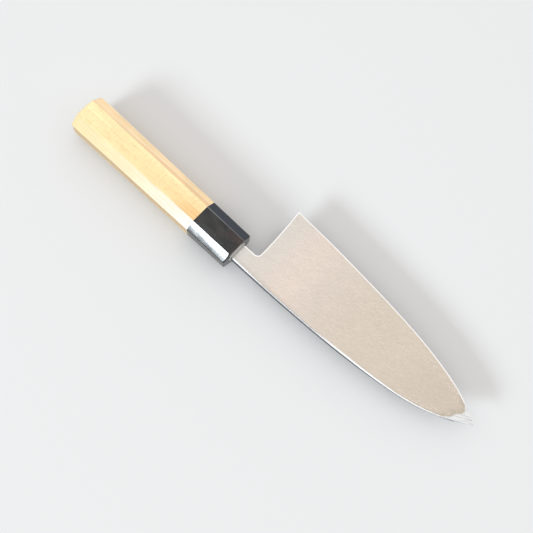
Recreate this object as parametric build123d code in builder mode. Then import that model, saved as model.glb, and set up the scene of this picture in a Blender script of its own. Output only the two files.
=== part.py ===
from build123d import *
import os

# A deba knife lying on the front of its blade: a two-layer, single-bevel blade with a hollow
# back, set in an eight-sided wooden handle with a horn ferrule.
# Frame: +X runs along the handle towards the tip, +Y towards the cutting edge, and +Z up out
# of the hollow back. The origin is the middle of the wooden handle's flat underside.
# Lengths are in millimetres.

os.makedirs("parts", exist_ok=True)

# Handle: an eight-sided bar, wider than it is thick, that swells towards its domed butt
handle_length = 144.2
ferrule_length = 33.7
front_width = 25.9
front_height = 21.4
front_chamfer_across = 6.4
front_chamfer_down = 5.1
butt_width = 28.8
butt_dome_rise = 1.1
butt_rim_radius = 2.4
arris_radius = 0.8

# The turned tenon that carries the ferrule, and the seal in the ferrule's mouth
tenon_diameter = 16.0
tenon_clearance = 0.1
seal_depth = 2.0
seal_clearance = 0.05
seal_bead_width = 0.7
seal_bead_rise = 0.5
seal_bead_slope = 30.0

# Blade outline, seen from the back, measured from the handle's axis and the ferrule's mouth
neck_length = 13.5
neck_spine_side = 6.4
neck_edge_side = 6.2
neck_corner_radius = 3.2
heel_reach = 48.7
heel_rake = 2.0
heel_to_tip = 178.4
tip_reach = 20.3

# Blade thickness
spine_thickness = 7.8
distal_taper = 3.8
cheek_taper = 0.9
bevel_width = 28.0
edge_land = 0.15
core_thickness = 2.8
spine_front_rounding = 0.9
spine_back_rounding = 0.5

# The hollow ground into the back
hollow_depth = 0.8
rim_width = 1.0
hollow_tip_margin = 11.5

# Root and tang
root_gap = 1.7
root_step = 0.3
tang_length = 96.0
tang_shoulder_width = 9.6
tang_shoulder_thickness = 5.2
tang_tail_width = 4.2
tang_tail_thickness = 2.6
tang_clearance = 0.15

# Every cut runs past the material by this much
overrun = 2.0
# How often a stretch of a curve is halved to find a point on it
halvings = 24

# The two long curves of the outline: how far along each point lies, and how much of the whole
# climb or fall towards the tip the curve has made there
spine_climb_shares = [(0.15, 0.003), (0.32, 0.032), (0.48, 0.088), (0.64, 0.198), (0.8, 0.385), (0.9, 0.629)]
edge_fall_shares = [(0.17, 0.042), (0.35, 0.117), (0.53, 0.216), (0.71, 0.368), (0.83, 0.534), (0.91, 0.705)]
# The hollow from heel to tip: how far along, and what share of its full depth it has there
hollow_shares = [(0, 0.25), (0.12, 0.8), (0.3, 1), (0.5, 1), (0.68, 0.9), (0.84, 0.6), (0.94, 0.35), (1, 0.15)]

# Places along X
wood_length = handle_length - ferrule_length
butt_x = -wood_length / 2
joint_x = wood_length / 2
mouth_x = joint_x + ferrule_length
shoulder_x = mouth_x - seal_depth
blade_x = mouth_x + root_gap
heel_foot_x = mouth_x + neck_length
heel_x = heel_foot_x - heel_rake
tip_x = heel_x + heel_to_tip

# Heights: the blade is centred on the handle's axis, and its back is the flat reference plane
axis_z = front_height / 2
back_z = axis_z + spine_thickness / 2
weld_z = back_z - core_thickness
edge_z = back_z - edge_land

# The neck and the tang share one centre line
tang_y = (neck_edge_side - neck_spine_side) / 2
root_width = neck_spine_side + neck_edge_side - 2 * root_step
root_thickness = spine_thickness - 2 * root_step


def across(x, y=0.0, z=0.0):
    """The plane square to the handle at x, with its first axis along Y and its second along Z."""
    return Plane(origin=(x, y, z), x_dir=(0, 1, 0), z_dir=(1, 0, 0))


def octagon(x):
    """Corners of the handle's section at x. It stands on the underside and grows to the butt."""
    growth = 1 + (butt_width / front_width - 1) * (mouth_x - x) / handle_length
    side = growth * front_width / 2
    top = growth * front_height
    flat = side - growth * front_chamfer_across
    drop = growth * front_chamfer_down
    right = [(flat, 0), (side, drop), (side, top - drop), (flat, top)]
    return right + [(-y, z) for y, z in reversed(right)]


def eight_sided_bar(from_x, to_x):
    """A length of the handle's tapering bar: a block planed flat along each pair of corners."""
    near = [Vector(from_x, *corner) for corner in octagon(from_x)]
    far = [Vector(to_x, *corner) for corner in octagon(to_x)]
    with BuildPart() as bar:
        with BuildSketch(across(from_x)):
            Rectangle(2 * butt_width, 2 * butt_width)
        extrude(amount=to_x - from_x)
        for corner, next_corner, far_corner in zip(near, near[1:] + near[:1], far):
            out = (next_corner - corner).cross(far_corner - corner)
            split(bisect_by=Plane(origin=corner, z_dir=out), keep=Keep.BOTTOM)
    return bar.part


def long_arrises(bar):
    """The long edges of a piece of the handle."""
    length = bar.part.bounding_box().size.X
    return [edge for edge in bar.edges() if edge.length > length / 2]


def tang(clearance):
    """The tapering tang or, with a clearance, the slot that takes it."""
    ends = (
        (shoulder_x, tang_shoulder_width, tang_shoulder_thickness),
        (shoulder_x - tang_length - clearance, tang_tail_width, tang_tail_thickness),
    )
    with BuildPart() as taper:
        for x, width, thickness in ends:
            with BuildSketch(across(x, tang_y, axis_z)):
                Rectangle(width + 2 * clearance, thickness + 2 * clearance)
        loft()
    return taper.part


def spine_points():
    """Points of the spine from the neck to the tip."""
    run = tip_x - blade_x
    climb = tip_reach + neck_spine_side
    shares = [(0, 0)] + spine_climb_shares + [(1, 1)]
    return [(blade_x + along * run, climb * risen - neck_spine_side) for along, risen in shares]


def edge_points():
    """Points of the cutting edge from the heel to the tip."""
    fall = heel_reach - tip_reach
    shares = [(0, 0)] + edge_fall_shares + [(1, 1)]
    return [(heel_x + along * heel_to_tip, heel_reach - fall * fallen) for along, fallen in shares]


def spine_arris(layer):
    """The long edge of a layer's spine that the other layer doesn't cover."""
    wall = layer.faces().filter_by(GeomType.EXTRUSION).sort_by(Axis.Y)[0]
    free = wall.edges().filter_by(lambda edge: abs(edge.center().Z - weld_z) > edge_land)
    return free.sort_by(SortBy.LENGTH)[-1]


def height_of(curve, x):
    """Where a curve of the outline lies across the blade at x."""
    low, high = 0.0, 1.0
    for _ in range(halvings):
        middle = (low + high) / 2
        if (curve @ middle).X < x:
            low = middle
        else:
            high = middle
    return (curve @ low).Y


# Wooden handle: the bar with a domed butt and its rim rounded more than its long arrises, the
# tenon and the slot for the tang
dome_radius = (butt_width / 2) ** 2 / (2 * butt_dome_rise) + butt_dome_rise / 2
butt_middle_z = octagon(butt_x)[3][1] / 2

with BuildPart() as domed_bar:
    add(eight_sided_bar(butt_x, joint_x))
    with Locations((butt_x + dome_radius, 0, butt_middle_z)):
        Sphere(dome_radius, mode=Mode.INTERSECT)
    fillet(domed_bar.faces().sort_by(Axis.X)[0].edges(), butt_rim_radius)

with BuildPart() as handle_body:
    add(eight_sided_bar(butt_x - overrun, joint_x + overrun))
    fillet(long_arrises(handle_body), arris_radius)
    add(domed_bar.part, mode=Mode.INTERSECT)
    with BuildSketch(across(joint_x, 0, axis_z)):
        Circle(tenon_diameter / 2)
    extrude(amount=shoulder_x - joint_x)
    add(tang(tang_clearance), mode=Mode.SUBTRACT)

# Horn ferrule: a ring with the handle's section, bored for the tenon
bore_diameter = tenon_diameter + 2 * tenon_clearance

with BuildPart() as horn_ferrule:
    add(eight_sided_bar(joint_x, mouth_x))
    rim = horn_ferrule.faces().sort_by(Axis.X)[-1].edges()
    fillet(long_arrises(horn_ferrule) + rim, arris_radius)
    with BuildSketch(across(joint_x - overrun, 0, axis_z)):
        Circle(bore_diameter / 2)
    extrude(amount=ferrule_length + 2 * overrun, mode=Mode.SUBTRACT)

# Seal: resin that fills the ferrule's mouth round the root and stands round it as a bead
with BuildPart() as tang_seal:
    with BuildSketch(across(shoulder_x, 0, axis_z)):
        Circle(bore_diameter / 2 - seal_clearance)
    extrude(amount=seal_depth)
    with BuildSketch(across(mouth_x, tang_y, axis_z)):
        Rectangle(root_width + 2 * seal_bead_width, root_thickness + 2 * seal_bead_width)
    extrude(amount=seal_bead_rise, taper=seal_bead_slope)
    with BuildSketch(across(shoulder_x - overrun, tang_y, axis_z)):
        Rectangle(root_width + 2 * seal_clearance, root_thickness + 2 * seal_clearance)
    extrude(amount=seal_depth + 2 * overrun, mode=Mode.SUBTRACT)

# Waste under the bevel: a wedge carried along the edge, from before the heel to past the tip
bevel_slope = (spine_thickness - cheek_taper - edge_land) / bevel_width
waste_depth = spine_thickness + overrun
with BuildPart() as bevel_waste:
    with BuildLine(Plane.XY.offset(edge_z)) as along_edge:
        edge_curve = Spline(*edge_points())
        Line(edge_curve @ 0 - (edge_curve % 0) * overrun, edge_curve @ 0)
        Line(edge_curve @ 1, edge_curve @ 1 + (edge_curve % 1) * overrun)
    path = along_edge.wires()[0]
    with BuildSketch(Plane(origin=path @ 0, x_dir=(0, 0, 1), z_dir=path % 0)):
        Polygon(
            (overrun * bevel_slope, -overrun),
            (-waste_depth, -overrun),
            (-waste_depth, waste_depth / bevel_slope),
            align=None,
        )
    sweep(path=path)

# The hollow of the back: shallow circular arcs across the blade, joined along it
hollow_start_x = heel_foot_x + rim_width
hollow_run = tip_x - hollow_tip_margin - hollow_start_x
spine_curve = Edge.make_spline([Vector(*point, 0) for point in spine_points()])
with BuildPart() as hollow:
    for along, depth_share in hollow_shares:
        x = hollow_start_x + along * hollow_run
        low = height_of(spine_curve, x) + rim_width
        high = height_of(edge_curve, x) - rim_width
        with BuildSketch(across(x, 0, back_z)):
            with BuildLine():
                ThreePointArc((low, 0), ((low + high) / 2, -depth_share * hollow_depth), (high, 0))
                Polyline((high, 0), (high, overrun), (low, overrun), (low, 0))
            make_face()
    loft()

# Blade blank: the outline, tapered along and across on its cheek, bevelled and hollowed
neck_corner_x = heel_foot_x - neck_corner_radius
neck_corner_y = neck_edge_side + neck_corner_radius
cheek_height = heel_reach + neck_spine_side - bevel_width
cheek_normal = (-distal_taper / (tip_x - mouth_x), -cheek_taper / cheek_height, 1)
cheek = Plane(origin=(mouth_x, -neck_spine_side, back_z - spine_thickness), z_dir=cheek_normal)

with BuildPart() as blade_blank:
    with BuildSketch(Plane.XY.offset(back_z)):
        with BuildLine():
            Spline(*spine_points())
            Spline(*edge_points())
            TangentArc((heel_foot_x, neck_corner_y), (heel_x, heel_reach), tangent=(0, 1))
            TangentArc((neck_corner_x, neck_edge_side), (heel_foot_x, neck_corner_y), tangent=(1, 0))
            Polyline((neck_corner_x, neck_edge_side), (blade_x, neck_edge_side), (blade_x, -neck_spine_side))
        make_face()
    extrude(amount=-spine_thickness)
    split(bisect_by=cheek, keep=Keep.TOP)
    add(bevel_waste.part, mode=Mode.SUBTRACT)
    add(hollow.part, mode=Mode.SUBTRACT)

# Core: the hard steel on the side of the back, out to the cutting edge
with BuildPart() as blade_core:
    add(blade_blank.part)
    split(bisect_by=Plane.XY.offset(weld_z), keep=Keep.TOP)
    fillet(spine_arris(blade_core), spine_back_rounding)

# Cladding: the soft steel welded under the core, with the stepped root and the tang
with BuildPart() as blade_cladding:
    add(blade_blank.part)
    split(bisect_by=Plane.XY.offset(weld_z), keep=Keep.BOTTOM)
    fillet(spine_arris(blade_cladding), spine_front_rounding)
    with BuildSketch(across(shoulder_x, tang_y, axis_z)):
        Rectangle(root_width, root_thickness)
    extrude(amount=blade_x - shoulder_x)
    add(tang(0))

for name, piece in (
    ("blade_core", blade_core),
    ("blade_cladding", blade_cladding),
    ("handle_body", handle_body),
    ("horn_ferrule", horn_ferrule),
    ("tang_seal", tang_seal),
):
    piece.part.label = name
    export_step(piece.part, f"parts/{name}.step")
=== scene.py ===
import math

import bmesh
import bpy
import numpy as np
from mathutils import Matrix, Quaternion, Vector


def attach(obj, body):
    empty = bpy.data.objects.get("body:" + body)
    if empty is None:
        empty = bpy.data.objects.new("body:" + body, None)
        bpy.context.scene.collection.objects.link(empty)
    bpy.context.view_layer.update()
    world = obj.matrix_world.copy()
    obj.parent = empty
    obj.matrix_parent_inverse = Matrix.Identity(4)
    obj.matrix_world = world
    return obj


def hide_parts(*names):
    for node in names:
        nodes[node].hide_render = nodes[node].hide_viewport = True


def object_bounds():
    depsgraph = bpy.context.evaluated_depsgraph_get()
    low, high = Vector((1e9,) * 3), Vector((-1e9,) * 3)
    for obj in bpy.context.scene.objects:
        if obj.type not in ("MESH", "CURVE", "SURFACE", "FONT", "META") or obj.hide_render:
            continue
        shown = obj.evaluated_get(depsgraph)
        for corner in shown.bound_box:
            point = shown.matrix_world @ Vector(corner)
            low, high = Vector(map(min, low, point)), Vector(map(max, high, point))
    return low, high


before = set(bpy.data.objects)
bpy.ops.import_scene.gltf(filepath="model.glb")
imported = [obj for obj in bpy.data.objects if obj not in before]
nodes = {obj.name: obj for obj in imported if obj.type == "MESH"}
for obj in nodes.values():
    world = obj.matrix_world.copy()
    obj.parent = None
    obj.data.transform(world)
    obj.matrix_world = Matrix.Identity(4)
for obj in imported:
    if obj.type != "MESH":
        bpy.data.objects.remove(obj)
cad_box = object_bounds()

# Sizes of the knife, in millimetres, as the CAD has them
mm = 0.001
handle_length = 144.2
ferrule_length = 33.7
front_width = 25.9
front_height = 21.4
front_chamfer_across = 6.4
front_chamfer_down = 5.1
butt_width = 28.8
butt_dome_rise = 1.1
root_gap = 1.7
neck_length = 13.5
neck_spine_side = 6.4
neck_edge_side = 6.2
neck_corner = 3.2
heel_rake = 2.0
heel_reach = 48.7
heel_to_tip = 178.4
tip_reach = 20.3
spine_thickness = 7.8
core_thickness = 2.8
distal_taper = 3.8
cheek_taper = 0.9
bevel_width = 28.0
edge_land = 0.15
hollow_depth = 0.8
hollow_tip_margin = 11.5
spine_climb_shares = [
    (0.15, 0.003), (0.32, 0.032), (0.48, 0.088), (0.64, 0.198), (0.8, 0.385), (0.9, 0.629),
]
edge_fall_shares = [
    (0.17, 0.042), (0.35, 0.117), (0.53, 0.216), (0.71, 0.368), (0.83, 0.534), (0.91, 0.705),
]

# Places that follow from them
butt_x = -(handle_length - ferrule_length) / 2
joint_x = (handle_length - ferrule_length) / 2
mouth_x = joint_x + ferrule_length
blade_x = mouth_x + root_gap
heel_foot_x = mouth_x + neck_length
heel_x = heel_foot_x - heel_rake
tip_x = heel_x + heel_to_tip
axis_z = front_height / 2
back_z = axis_z + spine_thickness / 2
weld_z = back_z - core_thickness
bevel_slope = (spine_thickness - cheek_taper - edge_land) / bevel_width
facet_half = front_width / 2 - front_chamfer_across

# The dressed back of the core: its flat rim, the hollow from heel to tip, and its small rounds
rim_width = 0.9
hollow_shares = [
    (0, 0.25), (0.12, 0.8), (0.3, 1), (0.5, 1), (0.68, 0.9), (0.84, 0.6), (0.94, 0.35), (1, 0.0),
]
hollow_heel_fade = 14.0
spine_round = 0.5
notch_round = 0.2
# Where the blade is narrower than this, near the tip, the spine's round shrinks with it
full_round_width = 8.0
least_round_share = 0.05
# Where the tip's polish begins: how far across, and how far along the knife
tip_polish_line = [
    (8.0, 256.5), (11.7, 261.0), (14.3, 264.2), (17.6, 265.2),
    (20.7, 268.2), (23.3, 268.8), (25.7, 266.8), (27.9, 264.2),
]
satin_angle = 26.0


# Shapes worked out with numpy

def ease(value):
    """Zero below 0, one above 1, and a smooth S between: 3v^2 - 2v^3."""
    v = np.clip(value, 0.0, 1.0)
    return v * v * (3 - 2 * v)


def spline_through(points):
    """The natural cubic spline y(x) through points: the second slopes at the knots solve a band
    of equations that keep the first slope unbroken, with none at the two ends."""
    x, y = np.array(points, float).T
    gap, rise = np.diff(x), np.diff(y)
    count = len(x)
    band = np.eye(count)
    right = np.zeros(count)
    inner = np.arange(1, count - 1)
    band[inner, inner - 1] = gap[:-1]
    band[inner, inner] = 2 * (gap[:-1] + gap[1:])
    band[inner, inner + 1] = gap[1:]
    right[inner] = 6 * (rise[1:] / gap[1:] - rise[:-1] / gap[:-1])
    bend = np.linalg.solve(band, right)

    def y_at(at):
        at = np.asarray(at, float)
        k = np.clip(np.searchsorted(x, at) - 1, 0, count - 2)
        a, b, g = x[k + 1] - at, at - x[k], gap[k]
        return (
            (bend[k] * a**3 + bend[k + 1] * b**3) / (6 * g)
            + (y[k] / g - bend[k] * g / 6) * a
            + (y[k + 1] / g - bend[k + 1] * g / 6) * b
        )

    return y_at


def slope_of(curve, x):
    """How steeply a curve climbs at x, over a small step either side."""
    step = 0.05
    return (curve(x + step) - curve(x - step)) / (2 * step)


spine_y = spline_through(
    [(blade_x + along * (tip_x - blade_x), part * (tip_reach + neck_spine_side) - neck_spine_side)
     for along, part in [(0, 0)] + spine_climb_shares + [(1, 1)]]
)
edge_y = spline_through(
    [(heel_x + along * (tip_x - heel_x), heel_reach - part * (heel_reach - tip_reach))
     for along, part in [(0, 0)] + edge_fall_shares + [(1, 1)]]
)


def heel_line_x(y):
    """The heel's edge in plan: upright at its foot, leaning back as the square of its height."""
    foot_y = neck_edge_side + neck_corner
    height = np.clip((y - foot_y) / (heel_reach - foot_y), 0, 1)
    return heel_foot_x - (heel_foot_x - heel_x) * height**2


def outline_distances(x, y):
    """How far a point of the blade lies from the spine, from the cutting edge and from the
    notch in front of the heel, square to each."""
    from_spine = (y - spine_y(x)) / np.sqrt(1 + slope_of(spine_y, x) ** 2)
    from_edge = (edge_y(x) - y) / np.sqrt(1 + slope_of(edge_y, x) ** 2)
    across = x - heel_line_x(y) + neck_corner
    down = neck_edge_side + neck_corner - y
    corner = np.hypot(np.maximum(across, 0), np.maximum(down, 0))
    from_notch = neck_corner - corner - np.minimum(np.maximum(across, down), 0)
    return from_spine, from_edge, -from_notch


def back_height(x, y):
    """Height of the blade's back: the flat rim, the hollow ground inside it as a shallow arc from
    rim to rim that fades at the heel and the tip, and the quarter rounds of its corners at the
    spine and at the notch."""
    from_spine, from_edge, from_notch = outline_distances(x, y)
    span = np.maximum(from_spine + from_edge - 2 * rim_width, 0.1)
    t = np.clip((from_spine - rim_width) / span, 0, 1)
    along = np.clip((x - heel_foot_x) / (tip_x - hollow_tip_margin - heel_foot_x), 0, 1)
    share = np.interp(along, *zip(*hollow_shares))
    near_heel = ease((from_notch - rim_width) / hollow_heel_fade)
    hollow = hollow_depth * share * near_heel * 4 * t * (1 - t)
    width_share = (from_spine + from_edge) / full_round_width
    soft = spine_round * np.clip(width_share, least_round_share, 1)
    inset = np.clip(from_spine, 0, soft)
    drop = soft - np.sqrt(np.maximum(soft**2 - (soft - inset) ** 2, 0))
    inset = np.clip(from_notch, 0, notch_round)
    notch_drop = notch_round - np.sqrt(np.maximum(notch_round**2 - (notch_round - inset) ** 2, 0))
    return back_z - hollow - np.maximum(drop, notch_drop)


def spaced(low, high, near_low, near_high, between):
    """Rows from low to high: at set distances inside each end, shrunk where they would take more
    than end_share of the room, and even between them. The last axis of the result runs over the
    rows."""
    end_share = 0.35
    room = np.maximum(high - low, 0.0)
    inner, outer = len(near_low), len(near_high)
    t = np.concatenate([np.zeros(inner), np.linspace(0, 1, between + 2)[1:-1], np.ones(outer)])
    off_low = np.concatenate([near_low, np.full(between + outer, near_low[-1])])
    off_high = np.concatenate([np.full(inner + between, near_high[-1]), near_high[::-1]])
    shrink_low = np.minimum(1, end_share * room / near_low[-1])
    shrink_high = np.minimum(1, end_share * room / near_high[-1])
    return (low + off_low * shrink_low) * (1 - t) + (high - off_high * shrink_high) * t


def parallel_to_edge(distance):
    """The line that keeps a distance inside the cutting edge, as y(x). It starts ahead of the heel
    and stops at the spine."""
    lead, samples = 12, 500
    x = np.linspace(heel_x - lead, tip_x, samples)
    slope = slope_of(edge_y, x)
    length = np.sqrt(1 + slope**2)
    line_x, line_y = x + distance * slope / length, edge_y(x) - distance / length
    return lambda at: np.maximum(np.interp(at, line_x, line_y), spine_y(at))


# The grid of the core. One column and one row of every sheet meet half way round the neck's
# corner. The columns stand closest by the ferrule and behind that corner
half_turn = neck_corner * math.sqrt(0.5)
turn_x = heel_foot_x - neck_corner + half_turn
turn_y = neck_edge_side + neck_corner - half_turn
turn_share = (turn_y - spine_y(turn_x)) / (edge_y(turn_x) - spine_y(turn_x))
near_heel_stations = np.array([0.0, 0.06, 0.15, 0.3, 0.5, 0.75, 1.05, 1.4, 1.8, 2.3, 2.9, 3.6])
neck_stations = np.concatenate(
    [[0, 0.1, 0.25], np.linspace(0.5, 8.5, 14), np.linspace(8.8, turn_x - blade_x, 12)]
)
last_station = cad_box[1][0] / mm - turn_x
blade_stations = np.concatenate(
    [near_heel_stations, np.linspace(4.4, 158, 200), np.linspace(158.4, last_station, 60)]
)
first_full = len(neck_stations) - 1
# Rows near each side, in millimetres inside it. The first ones at the spine go round its corner
round_rows = spine_round * (1 - np.cos(np.linspace(0, math.pi / 2, 8)))
at_spine = np.concatenate([round_rows, [0.75, 1.1, 1.5, 2.0]])
at_side = np.array([0, 0.06, 0.14, 0.25, 0.5, 0.8, 1.1])
at_edge = np.array([0, 0.12, 0.3, 0.55, 0.8, 1.05, 1.4])
rows_to_neck = 10
rows_to_edge = 52
rows_on_strip = 12


def notch_line_x(y):
    """Where the side of the notch lies: half the corner's round, then the heel's line."""
    reach = np.maximum(neck_corner**2 - (neck_edge_side + neck_corner - y) ** 2, 0)
    round_x = heel_foot_x - neck_corner + np.sqrt(reach)
    x = np.where(y < neck_edge_side + neck_corner, round_x, heel_line_x(y))
    return np.where(y < turn_y, turn_x, x)


def neck_side_y(x):
    """The neck's side towards the edge, with the first half of the corner's round, and beyond it
    the line that a row follows inside the blade."""
    run = np.clip(x - (heel_foot_x - neck_corner), 0, half_turn)
    round_y = neck_edge_side + neck_corner - np.sqrt(neck_corner**2 - run**2)
    return np.where(x <= turn_x, round_y, inner_line_y(x))


def inner_line_y(x):
    """The row inside the blade that carries on from the middle of the neck's corner."""
    return spine_y(x) + turn_share * (edge_y(x) - spine_y(x))


def sheet_plan(rows_below, rows_above, count_below, count_above):
    """Plan positions of a sheet of the blade, column by column from the neck to the tip. The rows
    below run from the spine to the neck's side, those above from there to the cutting edge.
    Columns near the heel lean with the heel's line, less and less towards the tip, and a few
    rounds settle where they meet the rows."""
    lean_falloff, rounds, hair = 6, 8, 1e-6
    x0 = np.concatenate([blade_x + neck_stations, turn_x + blade_stations[1:]])[:, None]
    along = np.clip((x0 - turn_x) / (tip_x - turn_x), 0, 1)
    lean = np.where(x0 < turn_x - hair, 0, (1 - along) ** lean_falloff)
    x = np.repeat(x0, count_below + count_above - 1, axis=1)
    for _ in range(rounds):
        below, above = rows_below(x[:, :count_below]), rows_above(x[:, count_below - 1:])
        y = np.concatenate([below, above[:, 1:]], axis=1)
        x = x0 + (notch_line_x(y) - turn_x) * lean
    return x, y


def solid_from_sheets(name, top, bottom, neck_row):
    """A closed plate between two sheets of points on the same grid of columns and rows. Columns
    of the neck stop at neck_row. Every free side is walled from sheet to sheet, and points that no
    face uses are left out; piece_from later makes one of the points that fall together, as at the tip."""
    columns, rows = top.shape[:2]
    index = np.arange(columns * rows).reshape(columns, rows)
    lower = index + columns * rows
    i, j = np.meshgrid(np.arange(columns - 1), np.arange(rows - 1), indexing="ij")
    kept = ~((i < first_full) & (j >= neck_row))
    i, j = i[kept], j[kept]
    quads = [
        np.stack([index[i, j], index[i + 1, j], index[i + 1, j + 1], index[i, j + 1]], -1),
        np.stack([lower[i, j], lower[i, j + 1], lower[i + 1, j + 1], lower[i + 1, j]], -1),
    ]

    def wall(line_i, line_j):
        a, b = index[line_i[:-1], line_j[:-1]], index[line_i[1:], line_j[1:]]
        c, d = lower[line_i[1:], line_j[1:]], lower[line_i[:-1], line_j[:-1]]
        quads.append(np.stack([a, d, c, b], -1))

    every_column, every_row = np.arange(columns), np.arange(rows)
    wall(every_column, np.zeros(columns, int))
    wall(every_column[first_full:][::-1], np.full(columns - first_full, rows - 1))
    wall(np.full(rows - neck_row, first_full), every_row[neck_row:][::-1])
    wall(every_column[: first_full + 1][::-1], np.full(first_full + 1, neck_row))
    wall(np.zeros(neck_row + 1, int), every_row[: neck_row + 1][::-1])
    wall(np.full(rows, columns - 1), every_row)
    points = np.concatenate([top.reshape(-1, 3), bottom.reshape(-1, 3)]) * mm
    faces = np.concatenate(quads)
    used = np.unique(faces)
    renumber = np.zeros(len(points), int)
    renumber[used] = np.arange(len(used))
    mesh = bpy.data.meshes.new(name)
    mesh.from_pydata(points[used], [], renumber[faces])
    return mesh


def piece_from(mesh, name, finish, sharp_degrees=35.0):
    """Close a mesh's doubles, turn its faces outwards, shade it smooth but for its sharp edges and
    put it in the scene with a finish."""
    same_point, no_length = 0.002 * mm, 0.001 * mm
    work = bmesh.new()
    work.from_mesh(mesh)
    bmesh.ops.remove_doubles(work, verts=work.verts, dist=same_point)
    bmesh.ops.dissolve_degenerate(work, edges=work.edges, dist=no_length)
    bmesh.ops.recalc_face_normals(work, faces=work.faces)
    work.to_mesh(mesh)
    work.free()
    mesh.polygons.foreach_set("use_smooth", np.ones(len(mesh.polygons), bool))
    mesh.set_sharp_from_angle(angle=math.radians(sharp_degrees))
    mesh.materials.append(finish)
    piece = bpy.data.objects.new(name, mesh)
    bpy.context.scene.collection.objects.link(piece)
    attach(piece, "root")
    return piece


def add_outline_distance(mesh):
    """Store on each point, in millimetres, how far it lies from the spine, the cutting edge and the
    notch, and how far past the line where the tip's polish begins, and whether it is underneath:
    lower than half way between the flat of the back and the bevel."""
    co = np.empty(len(mesh.vertices) * 3, np.float32)
    mesh.vertices.foreach_get("co", co)
    x, y, z = (co.reshape(-1, 3) / mm).T.astype(float)
    from_spine, from_edge, from_notch = outline_distances(x, y)
    tip_line_y, tip_line_x = np.array(tip_polish_line).T
    past_tip_line = x - np.interp(y, tip_line_y, tip_line_x)
    underneath = z < back_z - (edge_land + bevel_slope * from_edge) / 2
    for name, value in (
        ("from_spine", from_spine),
        ("from_edge", from_edge),
        ("from_notch", from_notch),
        ("past_tip_line", past_tip_line),
        ("underneath", underneath),
    ):
        attribute = mesh.attributes.new(name, "FLOAT", "POINT")
        attribute.data.foreach_set("value", value.astype(np.float32))


def core_mesh():
    """The hard layer: the back above, and below it the weld plane and the strip of bevel that
    rises from it to the cutting edge."""
    weld_line = parallel_to_edge((back_z - edge_land - weld_z) / bevel_slope)
    count_below = len(at_spine) + rows_to_neck + len(at_side)
    count_above = len(at_side) + rows_to_edge + len(at_edge)
    side = at_side[:2]

    def back_above(x):
        return spaced(inner_line_y(x), edge_y(x), at_side, at_edge, rows_to_edge)

    def back_below(x):
        return spaced(spine_y(x), neck_side_y(x), at_spine, at_side, rows_to_neck)

    def under_below(x):
        high = np.where(x < turn_x, neck_side_y(x), np.minimum(inner_line_y(x), weld_line(x)))
        return spaced(spine_y(x), high, at_spine, at_side, rows_to_neck)

    def under_above(x):
        low = np.minimum(inner_line_y(x), weld_line(x))
        on_flat = count_above - rows_on_strip - len(at_edge) - len(side)
        flat_x, strip_x = x[:, :on_flat], x[:, on_flat:]
        flat_rows = on_flat - len(at_side) - len(side)
        first = spaced(low[:, :on_flat], weld_line(flat_x), at_side, side, flat_rows)
        second = spaced(weld_line(strip_x), edge_y(strip_x), side, at_edge, rows_on_strip)
        return np.concatenate([first, second], axis=1)

    top_x, top_y = sheet_plan(back_below, back_above, count_below, count_above)
    low_x, low_y = sheet_plan(under_below, under_above, count_below, count_above)
    _, from_edge, _ = outline_distances(low_x, low_y)
    low_z = np.maximum(weld_z, back_z - edge_land - bevel_slope * np.maximum(from_edge, 0))
    top = np.stack([top_x, top_y, back_height(top_x, top_y)], -1)
    bottom = np.stack([low_x, low_y, low_z], -1)
    return solid_from_sheets("blade_core_dressed", top, bottom, count_below - 1)


# Finishes worked out with nodes. Their places are millimetres in the knife's own frame

class Signal:
    """A number or a colour that a finish works out at each point of the surface. Arithmetic on
    signals adds the nodes that do it."""

    def __init__(self, finish, socket):
        self.finish, self.socket = finish, socket

    def __add__(self, other):
        return self.finish.math("ADD", self, other)

    def __sub__(self, other):
        return self.finish.math("SUBTRACT", self, other)

    def __rsub__(self, other):
        return self.finish.math("SUBTRACT", other, self)

    def __mul__(self, other):
        return self.finish.math("MULTIPLY", self, other)

    def __truediv__(self, other):
        return self.finish.math("DIVIDE", self, other)

    def __rtruediv__(self, other):
        return self.finish.math("DIVIDE", other, self)

    def __pow__(self, other):
        return self.finish.math("POWER", self, other)

    __radd__, __rmul__ = __add__, __mul__

    def size(self):
        return self.finish.math("ABSOLUTE", self)

    def most(self, other):
        return self.finish.math("MAXIMUM", self, other)

    def climb(self, low, high):
        """Zero up to low and one from high on, with a smooth S between. With low above high it
        falls instead."""
        settings = {"interpolation_type": "SMOOTHSTEP"}
        if low < high:
            return self.finish.node("ShaderNodeMapRange", settings, 0, [self, low, high, 0.0, 1.0])
        return self.finish.node("ShaderNodeMapRange", settings, 0, [self, high, low, 1.0, 0.0])


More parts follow.
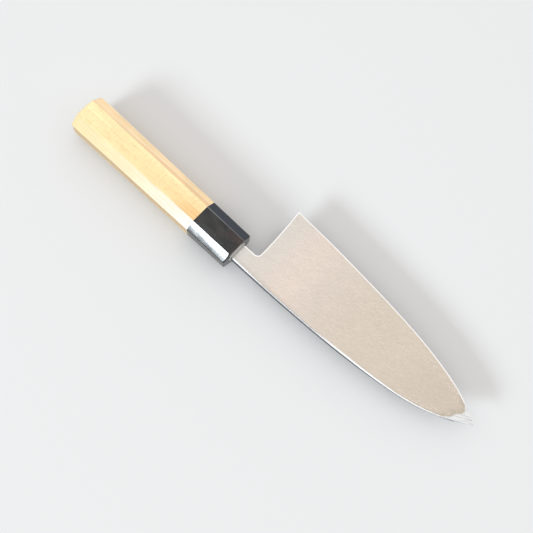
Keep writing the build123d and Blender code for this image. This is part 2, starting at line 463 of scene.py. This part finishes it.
class Finish:
    """A node material under construction, or the world's nodes."""

    def __init__(self, tree):
        self.tree = tree

    def feed(self, socket, value):
        """Link a signal to a socket, or set its value. A colour is written without its alpha."""
        if isinstance(value, Signal):
            self.tree.links.new(value.socket, socket)
        elif socket.type == "RGBA":
            socket.default_value = (*value, 1.0)
        else:
            socket.default_value = value

    def node(self, kind, settings=None, out=0, inputs=()):
        """Add a node: its settings first, then its sockets by order or by name."""
        made = self.tree.nodes.new(kind)
        for name, value in (settings or {}).items():
            setattr(made, name, value)
        pairs = inputs.items() if isinstance(inputs, dict) else enumerate(inputs)
        for key, value in pairs:
            self.feed(made.inputs[key], value)
        return Signal(self, made.outputs[out])

    def math(self, operation, *terms):
        return self.node("ShaderNodeMath", {"operation": operation}, 0, terms)

    def mix(self, share, first, second):
        """A colour between two, by share."""
        return self.node("ShaderNodeMix", {"data_type": "RGBA"}, 2, {0: share, 6: first, 7: second})

    def graded(self, place, colour, steps):
        """A colour that changes along a place. Each step gives where it starts, where it is
        full, and the colour that it leads to."""
        for start, full, towards in steps:
            colour = self.mix(place.climb(start, full), colour, towards)
        return colour

    def shade(self, colour, factor):
        """A colour made lighter or darker by a factor."""
        grey = self.node("ShaderNodeCombineXYZ", None, 0, [factor, factor, factor])
        return self.node("ShaderNodeVectorMath", {"operation": "MULTIPLY"}, 0, [colour, grey])

    def place(self):
        """Where the point lies, in millimetres of the knife's own frame."""
        point = self.node("ShaderNodeTexCoord", None, "Object")
        return self.node("ShaderNodeVectorMath", {"operation": "SCALE"}, 0, {0: point, 3: 1 / mm})

    def along(self, place, letter):
        return self.node("ShaderNodeSeparateXYZ", None, letter, [place])

    def noise(self, place, stretch, shift=0.0, detail=2.0, rough=0.5):
        """Soft noise about one half. Stretch gives the length of its features along X, Y and Z,
        and each pattern is moved by a shift of its own."""
        scale = tuple(1 / length for length in stretch)
        scaled = self.node("ShaderNodeVectorMath", {"operation": "MULTIPLY"}, 0, [place, scale])
        moved = self.node("ShaderNodeVectorMath", {"operation": "ADD"}, 0, [scaled, (shift, shift, shift)])
        values = {"Vector": moved, "Scale": 1.0, "Detail": detail, "Roughness": rough}
        return self.node("ShaderNodeTexNoise", None, 0, values)

    def stored(self, name):
        """A value kept on the piece's points."""
        return self.node("ShaderNodeAttribute", {"attribute_name": name}, "Fac")

    def curve(self, value, points):
        """A smooth curve through points between 0 and 1."""
        bent = self.node("ShaderNodeFloatCurve", None, 0, {"Value": value})
        line = bent.socket.node.mapping.curves[0]
        for place, height in points:
            line.points.new(place, height)
        bent.socket.node.mapping.update()
        return bent

    def bump(self, height, depth):
        """Relief of a height signal, so many millimetres deep for each one of the signal."""
        values = {"Strength": 1.0, "Distance": depth * mm, "Height": height}
        return self.node("ShaderNodeBump", None, 0, values)


def new_finish(name, constants):
    """A material with its unvarying values set on the shader's own sockets."""
    material = bpy.data.materials.new(name)
    material.use_nodes = True
    finish = Finish(material.node_tree)
    finish.material = material
    finish.shader = material.node_tree.nodes["Principled BSDF"]
    for socket, value in constants.items():
        finish.feed(finish.shader.inputs[socket], value)
    return finish


def apply(finish, **signals):
    """Link signals to the shader's sockets, named with underscores for spaces."""
    for name, signal in signals.items():
        finish.feed(finish.shader.inputs[name.replace("_", " ").title()], signal)
    return finish.material


# Tints of the satin from the neck to the tip: where each starts and where it is full. The change along the
# blade is painted reflection, the warm light on the satin and its falloff towards the tip
neck_satin = (0.690, 0.668, 0.632)
satin_reflection_tints = [
    (91, 104, (0.694, 0.655, 0.605)),
    (104, 128, (0.758, 0.660, 0.592)),
    (132, 152, (0.687, 0.615, 0.547)),
    (150, 200, (0.660, 0.587, 0.498)),
    (205, 262, (0.625, 0.550, 0.465)),
]
# Steel painted dark for the walls along the spine: a painted reflection
dark_reflection_steel = (0.12, 0.115, 0.13)


def spine_lines(x, from_spine, waver):
    """The polished lines along the spine: an outer one that narrows towards the tip and is dimmer
    and greyer from the heel to near the middle of the blade, and a faint second one inside it over
    the middle of the blade. Gives how far past the outer line a point lies, how much the line is dimmed
    there, and the polish."""
    line_width, narrowing = 1.0, 0.4
    past_line = from_spine - line_width + x.climb(195, 232) * narrowing
    # The outer line and the rounded corner are dimmer and greyer from the heel to near the middle of the
    # blade
    dimmed_stretch = x.climb(94, 122) * x.climb(178, 158) * from_spine.climb(1.35, 1.1)
    outer = (past_line + waver * 0.3).climb(0.05, -0.15) * (1 - dimmed_stretch * 0.2)
    second_width, second_narrowing = 1.5, 0.35
    past_second = from_spine - second_width + x.climb(150, 180) * second_narrowing
    second = past_second.size().climb(0.4, 0.1)
    second = second * (x.climb(132, 150) * 0.2 + x.climb(160, 180) * 0.5) * x.climb(203, 190)
    return past_line, dimmed_stretch, outer.most(second)


def back_steel():
    """The hard layer: satin lines that slant over the hollow back, its rim, heel and tip polished,
    a thin dull line where the hollow starts and a few bright specks left by the stones. The
    spine's rounded corner is paler than the back but no mirror, and the wall below it is painted
    dark as a painted reflection. Underneath, the strip of bevel up to the weld is honed along the edge."""
    f = new_finish("hard_steel", {"Metallic": 1.0})
    p = f.place()
    x, y, z = f.along(p, "X"), f.along(p, "Y"), f.along(p, "Z")
    from_spine, from_edge = f.stored("from_spine"), f.stored("from_edge")
    from_notch, past_tip_line = f.stored("from_notch"), f.stored("past_tip_line")
    under = f.stored("underneath")
    turn = math.radians(satin_angle)
    stroke = x * math.cos(turn) + y * math.sin(turn)
    beside = y * math.cos(turn) - x * math.sin(turn)
    slanted = f.node("ShaderNodeCombineXYZ", None, 0, [stroke, beside, 0.0])

    # Where it is polished
    waver = f.noise(p, (9, 9, 9), shift=3.0) - 0.5
    past_line, dimmed_stretch, on_spine = spine_lines(x, from_spine, waver)
    on_edge = (from_edge + waver * 0.4).climb(0.8, 0.55)
    on_notch = (from_notch + waver * 0.3).climb(0.95, 0.7)
    ragged = f.noise(slanted, (6.0, 0.8, 1.0), shift=5.0, detail=3.0) - 0.5
    on_tip = (past_tip_line + ragged * 2.5).climb(-0.4, 0.4)
    speck = f.noise(p, (0.8, 0.8, 0.8), shift=21.0, detail=0.0).climb(0.68, 0.76)
    near_rim = from_edge.climb(8, 3).most(from_spine.climb(7, 3)) * x.climb(215, 235)
    polish = on_spine.most(on_edge).most(on_notch).most(on_tip).most(speck * near_rim * 0.7)

    # The satin, duller by the spine's line, with painted shade before the tip's polish
    fine = f.noise(slanted, (6.0, 0.6, 1.0), shift=1.0, detail=3.0, rough=0.6) - 0.5
    grit = f.noise(p, (0.9, 0.9, 0.9), shift=33.0, detail=1.0) - 0.5
    broad = f.noise(slanted, (45.0, 3.0, 1.0), shift=4.0, detail=2.0) - 0.5
    cloud = f.noise(p, (22, 12, 10), shift=8.0) - 0.5
    texture = 1 + fine * 0.36 + grit * 0.26 + broad * 0.07 + cloud * 0.08
    dull_reach = 1.1 + x.climb(152, 125) * 1.7
    dull = past_line.climb(-0.1, 0.15) * (1 - past_line / dull_reach).most(0.0) * (1 - on_tip)
    # Painted shade on the satin over the last few millimetres before the tip's polish
    shade_before_tip = past_tip_line.climb(-7.5, 0.0)
    # The satin's colour along the blade carries painted reflection of the light falling off towards the
    # tip
    satin = f.graded(x, neck_satin, satin_reflection_tints)
    satin = f.shade(satin, texture * (1 - dull * 0.16) * (1 - shade_before_tip * 0.14))

    # The polished steel, with streaks at the tip
    streaks = f.noise(slanted, (9.0, 0.9, 1.0), shift=27.0, detail=2.0) - 0.5
    bright = f.mix(dimmed_stretch, (0.95, 0.945, 0.94), (0.52, 0.515, 0.51))
    bright = f.mix(on_tip, bright, (0.72, 0.735, 0.745))
    bright = f.shade(bright, 1 + on_tip * streaks * 0.8)
    colour = f.mix(polish, satin, bright)

    # The strip of bevel, the rounded corner, and the wall below it painted dark as a painted reflection
    honed = f.noise(p, (26.0, 0.5, 1.0), shift=9.0, detail=3.0) - 0.5
    colour = f.mix(under, colour, f.shade((0.80, 0.79, 0.78), 1 + honed * 0.22))
    corner = from_spine.climb(spine_round, 0.3)
    on_round = corner * (1 - x.climb(183, 202) * 0.8) * (1 - x.climb(262, 270))
    colour = f.mix(on_round, colour, f.mix(dimmed_stretch, (0.64, 0.64, 0.65), (0.47, 0.47, 0.48)))
    # Below this height the spine's wall is painted dark as a painted reflection. The band is narrower
    # towards the tip and where the spine's line is dimmed
    dark_below = back_z - 0.85
    wall_z = z + x.climb(190, 215) * 1.1 + dimmed_stretch * 0.7
    wall = wall_z.climb(dark_below, dark_below - 0.3) * from_spine.climb(0.35, 0.1)
    colour = f.mix(wall, colour, dark_reflection_steel)

    satin_rough = (0.36 - polish * 0.22) * (1 - corner) + corner * 0.5 + fine * 0.05 + wall * 0.05
    roughness = satin_rough * (1 - under) + (0.24 + honed * 0.08) * under
    relief = f.bump(fine * (1 - polish), 0.006)
    return apply(f, base_color=colour, roughness=roughness, normal=relief)


def front_steel():
    """The soft layer: a cheek brushed lengthwise, a hazy ground bevel that ends in a paler line at
    the weld, a wall along the spine painted dark as a painted reflection, and a duller neck."""
    f = new_finish("soft_steel", {"Metallic": 1.0})
    p = f.place()
    x, y, z = f.along(p, "X"), f.along(p, "Y"), f.along(p, "Z")
    lines = f.noise(p, (30.0, 0.25, 1.0), shift=2.0, detail=3.0) - 0.5
    cloud = f.noise(p, (14, 10, 10), shift=5.0) - 0.5
    haze = f.noise(p, (9, 1.2, 6), shift=12.0, detail=4.0, rough=0.6) - 0.5
    climb = f.curve((x - blade_x) / (tip_x - blade_x), spine_climb_shares)
    spine = climb * (tip_reach + neck_spine_side) - neck_spine_side
    spine_wall = (y - spine).climb(0.5, 0.2)
    # The cheek is a plane that tapers towards the tip and a little towards the edge
    cheek_height = heel_reach + neck_spine_side - bevel_width
    rise_along = (x - mouth_x) * (distal_taper / (tip_x - mouth_x))
    rise = rise_along + (y + neck_spine_side) * (cheek_taper / cheek_height)
    on_bevel = (z - (back_z - spine_thickness) - rise).climb(0.05, 0.3) * (1 - spine_wall)
    on_bevel = on_bevel * x.climb(heel_x - 4, heel_x - 2)
    at_weld = (z - weld_z + haze * 0.5).climb(-0.22, -0.12) * on_bevel
    brushed = f.mix(x.climb(104, 92), (0.56, 0.54, 0.52), (0.50, 0.49, 0.47))
    hazy = f.shade((0.47, 0.46, 0.46), 1 + haze * 0.3)
    colour = f.mix(on_bevel, f.shade(brushed, 1 + lines * 0.2), hazy)
    colour = f.mix(at_weld, colour, (0.68, 0.67, 0.66))
    # The spine's wall painted dark: a painted reflection
    colour = f.mix(spine_wall, colour, dark_reflection_steel)
    colour = f.shade(colour, 1 + cloud * 0.14)
    roughness = 0.36 + lines * 0.08 + cloud * 0.08 + on_bevel * (0.14 + haze * 0.1)
    return apply(f, base_color=colour, roughness=roughness, normal=f.bump(lines, 0.004))


def handle_places(f, p):
    """Where a point lies on the handle: x along it, and u across and w up its section, scaled to
    the section at the ferrule's mouth. Then how far it is on the upper half, on the chamfers
    towards the edge and towards the spine, and on the sides, and its way down the chamfer, from
    0 at the upper arris to 1 at the lower."""
    x, y, z = f.along(p, "X"), f.along(p, "Y"), f.along(p, "Z")
    growth = 1 + (mouth_x - x) * ((butt_width / front_width - 1) / handle_length)
    u, w = y / growth, z / growth
    low = front_height - front_chamfer_down
    soft = 0.1
    upper = w.climb(axis_z, axis_z + 1)
    on_chamfer = u.size().climb(facet_half - soft, facet_half + soft) * w.climb(low - soft, low + soft)
    on_side = u.size().climb(facet_half, facet_half + 1) * w.climb(low + soft, low - soft)
    edge_chamfer = on_chamfer * u.climb(-soft, soft)
    spine_chamfer = on_chamfer * u.climb(soft, -soft)
    down = (u.size() - facet_half) / front_chamfer_across
    return x, u, w, upper, edge_chamfer, spine_chamfer, on_side, down


def broad_facet(f, p, x, u, bands, warm):
    """The wood of the broad facets: paler at the butt, orange by the ferrule on the half towards
    the spine, with warm clouds, lengthwise stripes and spots, and a fairer strip inside the
    arris on the other half."""
    spine_half = 1 - u.climb(-0.9, 1.2) * 0.85
    wood = f.mix(x.climb(-55, -5), (0.92, 0.775, 0.43), (0.89, 0.71, 0.385))
    wood = f.mix(x.climb(30, 51) * spine_half, wood, (0.83, 0.525, 0.235))
    wood = f.mix(warm * 0.45, wood, (0.88, 0.65, 0.34))
    stripes = bands.climb(-0.02, 0.07) * x.climb(-10, 50) * spine_half
    wood = f.mix(stripes * 0.6, wood, (0.86, 0.565, 0.27))
    spots = f.noise(p, (3.2, 1.6, 1.6), shift=63.0, detail=1.0).climb(0.56, 0.70) * x.climb(5, 48)
    wood = f.mix(spots * spine_half * 0.5, wood, (0.80, 0.50, 0.24))
    fair_strip = u.climb(3.2, 5.4) * x.climb(-36, -24) * (0.6 - x.climb(42, 56) * 0.3)
    return f.mix(fair_strip, wood, (0.93, 0.82, 0.462))


def edge_side_chamfer(f, x, u, down, grain, edge_chamfer, on_side, wood):
    """The chamfer on the side of the cutting edge: fair wood with a pale lower arris, a painted
    highlight, and under its upper arris a browner streak, edged by a pale line, that widens towards
    the ferrule: painted shade on a faint second facet, with a painted highlight along its ridge."""
    fair = f.mix(x.climb(25, 52), (1.0, 0.75, 0.435), (1.0, 0.735, 0.385))
    wood = f.mix(edge_chamfer, wood, fair)
    # A pale line along the lower arris: a painted highlight
    arris_highlight = (down - 1).size().climb(0.14, 0.02) * edge_chamfer.most(on_side)
    wood = f.mix(arris_highlight * u.climb(-0.1, 0.1) * 0.7, wood, (0.97, 0.88, 0.70))
    # Under the upper arris a browner streak is painted shade on a faint second facet, and the pale line
    # along its ridge is a painted highlight
    streak_end = x.climb(-42, 50) * 0.35 + 0.12 + grain * 0.3
    streak = (down - streak_end).climb(0.08, -0.08) * edge_chamfer
    ridge_highlight = (down - streak_end - 0.1).size().climb(0.1, 0.0) * edge_chamfer
    wood = f.mix(streak * 0.9, wood, (0.91, 0.625, 0.36))
    return f.mix(ridge_highlight * 0.7, wood, (0.97, 0.85, 0.62))


def end_grain(f, p, x, y, z, wood):
    """The domed butt: faint rings about a far heart, and pores. Gives the wood with it, and where
    it is."""
    heart_y, heart_z = -30.0, -22.0
    ring_y, ring_z = y - heart_y, z - heart_z
    ring = (ring_y * ring_y + ring_z * ring_z) ** 0.5 + f.noise(p, (8, 8, 8), shift=3.0) * 2.5
    rings = f.math("SINE", ring * 2.6) * 0.5 + 0.5
    from_axis = (y * y + (z - axis_z) * (z - axis_z)) / (butt_width / 2) ** 2
    on_butt = (x - butt_x - from_axis * butt_dome_rise).climb(1.1, 0.5)
    dots = f.noise(p, (0.45, 0.45, 0.45), shift=8.0, detail=1.0).climb(0.6, 0.75)
    wood = f.mix(on_butt, wood, f.mix(rings, (0.82, 0.66, 0.39), (0.86, 0.71, 0.44)))
    return f.shade(wood, 1 - on_butt * dots * 0.16), on_butt


def magnolia():
    """Magnolia: pale yellow wood, warmer towards the ferrule, with straight grain and fine mottled
    flecks across it that show less on the chamfers and on the butt. Its sides are darker and
    browner as painted shade, and its chamfer on the spine's side turns nearly white towards the
    ferrule as a painted sheen."""
    f = new_finish("magnolia_wood", {"Specular IOR Level": 0.35})
    p = f.place()
    x, u, w, _, edge_chamfer, spine_chamfer, on_side, down = handle_places(f, p)
    y, z = f.along(p, "Y"), f.along(p, "Z")
    grain = f.noise(p, (38, 0.8, 0.8), shift=1.0, detail=4.0, rough=0.6) - 0.5
    bands = f.noise(p, (60, 1.3, 1.3), shift=41.0, detail=2.0) - 0.5
    fleck = f.noise(p, (1.8, 1.3, 1.3), shift=4.0, detail=2.0, rough=0.6) - 0.5
    pore = f.noise(p, (4.5, 0.22, 0.22), shift=14.0, detail=1.0).climb(0.62, 0.78)
    cloud = f.noise(p, (17, 7, 7), shift=7.0, detail=2.0) - 0.5
    warm = f.noise(p, (13, 6, 6), shift=31.0, detail=3.0).climb(0.46, 0.68)
    curl = f.noise(p, (1.5, 5.5, 5.5), shift=19.0, detail=2.0) - 0.5

    wood = broad_facet(f, p, x, u, bands, warm)
    wood = edge_side_chamfer(f, x, u, down, grain, edge_chamfer, on_side, wood)
    # The chamfer on the spine's side turns from a duller yellow at the butt to nearly white at the
    # ferrule: a painted sheen of the softbox that faces it
    to_joint = (x - butt_x) / (joint_x - butt_x)
    pale = f.mix(to_joint * to_joint, (0.70, 0.577, 0.308), (0.79, 0.718, 0.655))
    wood = f.mix(spine_chamfer, wood, f.mix(warm * 0.25, pale, (0.74, 0.60, 0.38)))
    # The sides are painted darker and browner than the top and the chamfers, as painted shade. On the
    # spine's side the band above the lower strip is darkest
    shaded_spine_side = f.mix(w.climb(8.0, 7.0), (0.50, 0.36, 0.21), (0.61, 0.47, 0.295))
    wood = f.mix(on_side * u.climb(0.1, -0.1), wood, shaded_spine_side)
    wood = f.mix(on_side * u.climb(-0.1, 0.1), wood, (0.74, 0.53, 0.32))
    wood, on_butt = end_grain(f, p, x, y, z, wood)

    calm = (1 - (edge_chamfer + spine_chamfer) * 0.6) * (1 - on_butt * 0.7)
    flecks = (fleck * 0.62 + curl * (x.climb(0, 50) * 0.6 + 0.08)) * calm
    wood = f.mix((flecks * (-5)).climb(0.0, 1.0) * 0.5, wood, (0.88, 0.60, 0.30))
    figure = grain * 0.36 + bands * 0.22 + flecks * 0.35 + cloud * 0.18 - pore * 0.10
    wood = f.shade(wood, 1 + figure)
    roughness = 0.5 + fleck * 0.1 + on_butt * 0.12
    relief = f.bump(fleck * 0.3 + grain - pore * 0.5, 0.015)
    return apply(f, base_color=wood, roughness=roughness, normal=relief)


def horn():
    """Polished black horn: brown and plum clouds towards its mouth, faint cross flecks, and a
    chamfer on the side of the spine that rolls over more near the wood, as hand polishing leaves
    it. The chamfer on the side of the edge is an even bluish grey, a painted reflection, and the
    arris above it a grey line, a painted highlight. Its relief is minus half the roll times the
    chamfer's width times the square of the way down it, with low waves, less a quarter of the
    square of the way past its rubbed end."""
    f = new_finish("buffalo_horn", {"IOR": 1.54})
    p = f.place()
    x, u, _, upper, edge_chamfer, spine_chamfer, _, down = handle_places(f, p)
    cloud = f.noise(p, (9, 5, 5), shift=2.0, detail=3.0)
    grey = f.noise(p, (14, 6, 6), shift=12.0, detail=2.0)
    flecks = f.noise(p, (0.5, 3.2, 3.2), shift=6.0, detail=2.0).climb(0.60, 0.70) * x.climb(66, 78)
    near_corner = x.climb(75, 87) * u.climb(0.0, 5.0)
    brown = cloud.climb(0.42, 0.62) * x.climb(64, 84) * 0.6 + near_corner * cloud.climb(0.3, 0.6) * 0.5
    greyer = grey.climb(0.35, 0.7) * (1 - x.climb(72, 82) * 0.9)
    colour = f.mix(greyer, (0.003, 0.003, 0.004), (0.023, 0.024, 0.022))
    colour = f.mix(brown, colour, (0.027, 0.012, 0.012))
    colour = f.mix(flecks * 0.7, colour, (0.08, 0.072, 0.067))
    # The chamfer on the edge's side painted an even bluish grey: a painted reflection
    colour = f.mix(edge_chamfer, colour, (0.012, 0.0145, 0.019))
    # The grey line along the upper arris on the edge's side is a painted highlight, fainter towards the
    # mouth
    arris = (u - facet_half).size().climb(0.45, 0.1) * upper
    colour = f.mix(arris * (1 - x.climb(58, 82) * 0.45), colour, (0.20, 0.20, 0.205))
    waves = f.noise(p, (7.0, 4.5, 4.5), shift=11.0, detail=1.0)
    half_chamfer, rubbed_length, end_bow = 4.1, 0.6, 4
    roll = 0.079 - x.climb(joint_x + 8, mouth_x) * 0.017
    rolled = down * down * roll * (-half_chamfer)
    past_end = (x - mouth_x + rubbed_length + (down - 0.5) * (down - 0.5) * end_bow).most(0.0)
    relief = f.bump((rolled - past_end * past_end * 0.25) * spine_chamfer + waves * 0.05, 1.0)
    rubbed = spine_chamfer * down.climb(0.2, 1.0) * 0.05
    return apply(f, base_color=colour, roughness=0.11 + rubbed + flecks * 0.12, normal=relief)


def resin():
    """The seal round the root: clear grey resin, a little uneven."""
    f = new_finish("sealing_resin", {})
    p = f.place()
    lumps = f.noise(p, (1.6, 1.6, 1.6), shift=3.0)
    colour = f.mix(lumps, (0.50, 0.49, 0.465), (0.66, 0.65, 0.62))
    return apply(f, base_color=colour, roughness=0.25 + lumps * 0.2, normal=f.bump(lumps, 0.06))


finishes = {
    "hard_steel": back_steel(),
    "soft_steel": front_steel(),
    "magnolia_wood": magnolia(),
    "buffalo_horn": horn(),
    "sealing_resin": resin(),
}
for node_name, slot in (
    ("blade_cladding", "soft_steel"),
    ("handle_body", "magnolia_wood"),
    ("horn_ferrule", "buffalo_horn"),
    ("tang_seal", "sealing_resin"),
):
    nodes[node_name].data.materials.clear()
    nodes[node_name].data.materials.append(finishes[slot])

core = piece_from(core_mesh(), "blade_core_dressed", finishes["hard_steel"])
add_outline_distance(core.data)
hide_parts("blade_core")


# The stage: a level pale floor under the handle's flat underside, soft light from above and one
# long low softbox on the side of the spine

floor_reach = 3.0
floor_gap = 0.05 * mm
floor_mesh = bpy.data.meshes.new("floor")
corner_signs = [(-1, -1), (1, -1), (1, 1), (-1, 1)]
corners = [(floor_reach * a, floor_reach * b, -floor_gap) for a, b in corner_signs]
floor_mesh.from_pydata(corners, [], [(0, 1, 2, 3)])
floor = bpy.data.objects.new("floor", floor_mesh)
bpy.context.scene.collection.objects.link(floor)
floor_paint = {"Base Color": (0.72, 0.72, 0.72), "Roughness": 0.9, "Specular IOR Level": 0.1}
floor_mesh.materials.append(new_finish("floor_paint", floor_paint).material)

world = bpy.data.worlds.new("studio")
world.use_nodes = True
bpy.context.scene.world = world
sky = Finish(world.node_tree)
heading = sky.node("ShaderNodeTexCoord", None, "Generated")
up, towards_edge = sky.along(heading, "Z"), sky.along(heading, "Y")
side = towards_edge.climb(-0.6, 0.9)
horizon = sky.mix(side, (0.26, 0.29, 0.36), (0.80, 0.90, 1.08))
middle = sky.mix(side, (0.42, 0.42, 0.43), (1.0, 0.98, 0.96))
overhead = (1.08, 1.06, 1.04)
sky_colour = sky.mix(up.climb(0.3, 0.85), sky.mix(up.climb(0.0, 0.4), horizon, middle), overhead)
sky.feed(world.node_tree.nodes["Background"].inputs["Color"], sky_colour)

# The lower rim of the softbox is what the polished horn shows as the end of its white glare. The
# grid on its front keeps its light off the floor near it, and passes 1 - a / tan(a) of the light
target = Vector((0.070, -0.010, 0.018))
towards_lamp = Vector((-0.18, -0.90, 0.40)).normalized()
lamp_distance = 6.0
lamp_brightness = 40.0
grid_half_angle = math.radians(20.0)
lamp_data = bpy.data.lights.new("low_softbox", "AREA")
lamp_data.shape = "RECTANGLE"
lamp_data.size, lamp_data.size_y = 2.75, 1.20
lamp_data.spread = 2 * grid_half_angle
lamp_data.color = (0.86, 0.95, 1.0)
through_grid = 1 - grid_half_angle / math.tan(grid_half_angle)
lamp_data.energy = lamp_brightness * math.pi * lamp_data.size * lamp_data.size_y * through_grid
lamp = bpy.data.objects.new("low_softbox", lamp_data)
lamp.location = target + lamp_distance * towards_lamp
lamp.rotation_euler = (-towards_lamp).to_track_quat("-Z", "Y").to_euler()
bpy.context.scene.collection.objects.link(lamp)

# The camera, placed as the photograph's was
eye = Vector((182.71, -108.45, 529.08)) * mm
aim = Vector((110.21, 6.33, 10.7)) * mm
roll = math.radians(11.056)
camera_data = bpy.data.cameras.new("camera")
camera_data.sensor_width = 36.0
camera_data.lens = 54.034
camera_data.clip_start = 0.01
camera = bpy.data.objects.new("camera", camera_data)
camera.location = eye
camera.rotation_mode = "QUATERNION"
camera.rotation_quaternion = (aim - eye).to_track_quat("-Z", "Y") @ Quaternion((0, 0, 1), roll)
bpy.context.scene.collection.objects.link(camera)
bpy.context.scene.camera = camera
bpy.context.scene.view_settings.view_transform = "Standard"
